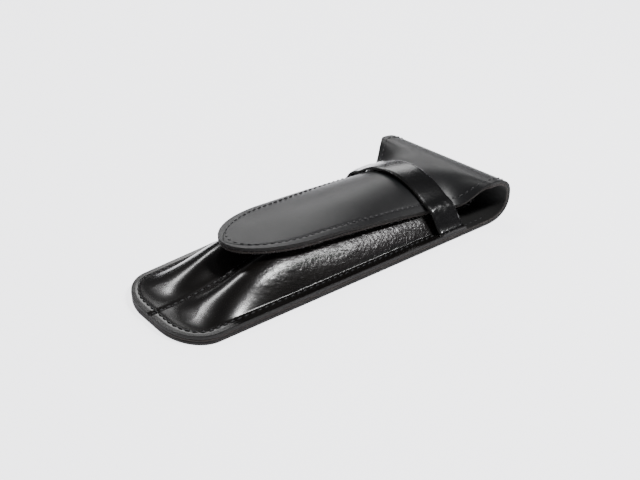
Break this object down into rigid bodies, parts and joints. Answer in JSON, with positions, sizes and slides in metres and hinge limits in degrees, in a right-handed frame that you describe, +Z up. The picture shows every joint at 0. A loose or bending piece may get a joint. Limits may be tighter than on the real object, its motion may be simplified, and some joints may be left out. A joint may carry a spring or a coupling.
{
  "type": "fountain pen case",
  "caption": "Slim leather pouch for fountain pens: flat back, moulded front with rounded wells, and a long tongue flap folded forward under a sewn keeper band",
  "frame": {"origin": "middle of the closed pouch's footprint, on the surface that its flat back lies on", "axes": "+X across the pouch, +Y along it from the rounded toe to the fold at the mouth, +Z up out of the flat back through the moulded front"},
  "size_m": [0.0674, 0.165, 0.0241],
  "materials": {
    "moulded_leather": "glossy",
    "back_leather": "satin",
    "flap_leather": "satin",
    "keeper_leather": "satin",
    "lining_leather": "matte",
    "thread": "matte"
  },
  "bodies": {
    "case": {"back_panel": "back_leather", "back_lining": "lining_leather", "front_panel": "moulded_leather", "keeper_band": "keeper_leather", "pocket_seam_thread": "thread", "centre_seam_thread": "thread", "back_edge_thread_right": "thread", "back_edge_thread_left": "thread", "keeper_thread_right": "thread", "keeper_thread_left": "thread"},
    "fold_1": {"fold_outer_1": "flap_leather", "fold_lining_1": "lining_leather"},
    "fold_2": {"fold_outer_2": "flap_leather", "fold_lining_2": "lining_leather"},
    "fold_3": {"fold_outer_3": "flap_leather", "fold_lining_3": "lining_leather"},
    "flap": {"flap_outer": "flap_leather", "flap_lining": "lining_leather", "flap_edge_thread": "thread"}
  },
  "joints": [
    {"name": "fold_bend_1", "type": "hinge", "parent": "case", "child": "fold_1", "pos_m": [0, 0.07342, 0.00035], "axis": [-1, 0, 0], "range_deg": [0, 31.4], "deforming": ["keeper_band"]},
    {"name": "fold_bend_2", "type": "hinge", "parent": "fold_1", "child": "fold_2", "pos_m": [0, 0.0815, 0.00542], "axis": [-1, 0, 0], "range_deg": [0, 56.91], "deforming": ["keeper_band"]},
    {"name": "fold_bend_3", "type": "hinge", "parent": "fold_2", "child": "fold_3", "pos_m": [0, 0.0815, 0.01498], "axis": [-1, 0, 0], "range_deg": [0, 56.91], "deforming": ["keeper_band"]},
    {"name": "fold_bend_4", "type": "hinge", "parent": "fold_3", "child": "flap", "pos_m": [0, 0.07342, 0.02005], "axis": [-1, 0, 0], "range_deg": [0, 31.4], "deforming": ["keeper_band"]}
  ],
  "couplings": [
    {"joint": "fold_bend_2", "follows": "fold_bend_1", "ratio": 1.8125},
    {"joint": "fold_bend_3", "follows": "fold_bend_1", "ratio": 1.8125},
    {"joint": "fold_bend_4", "follows": "fold_bend_1", "ratio": 1}
  ]
}
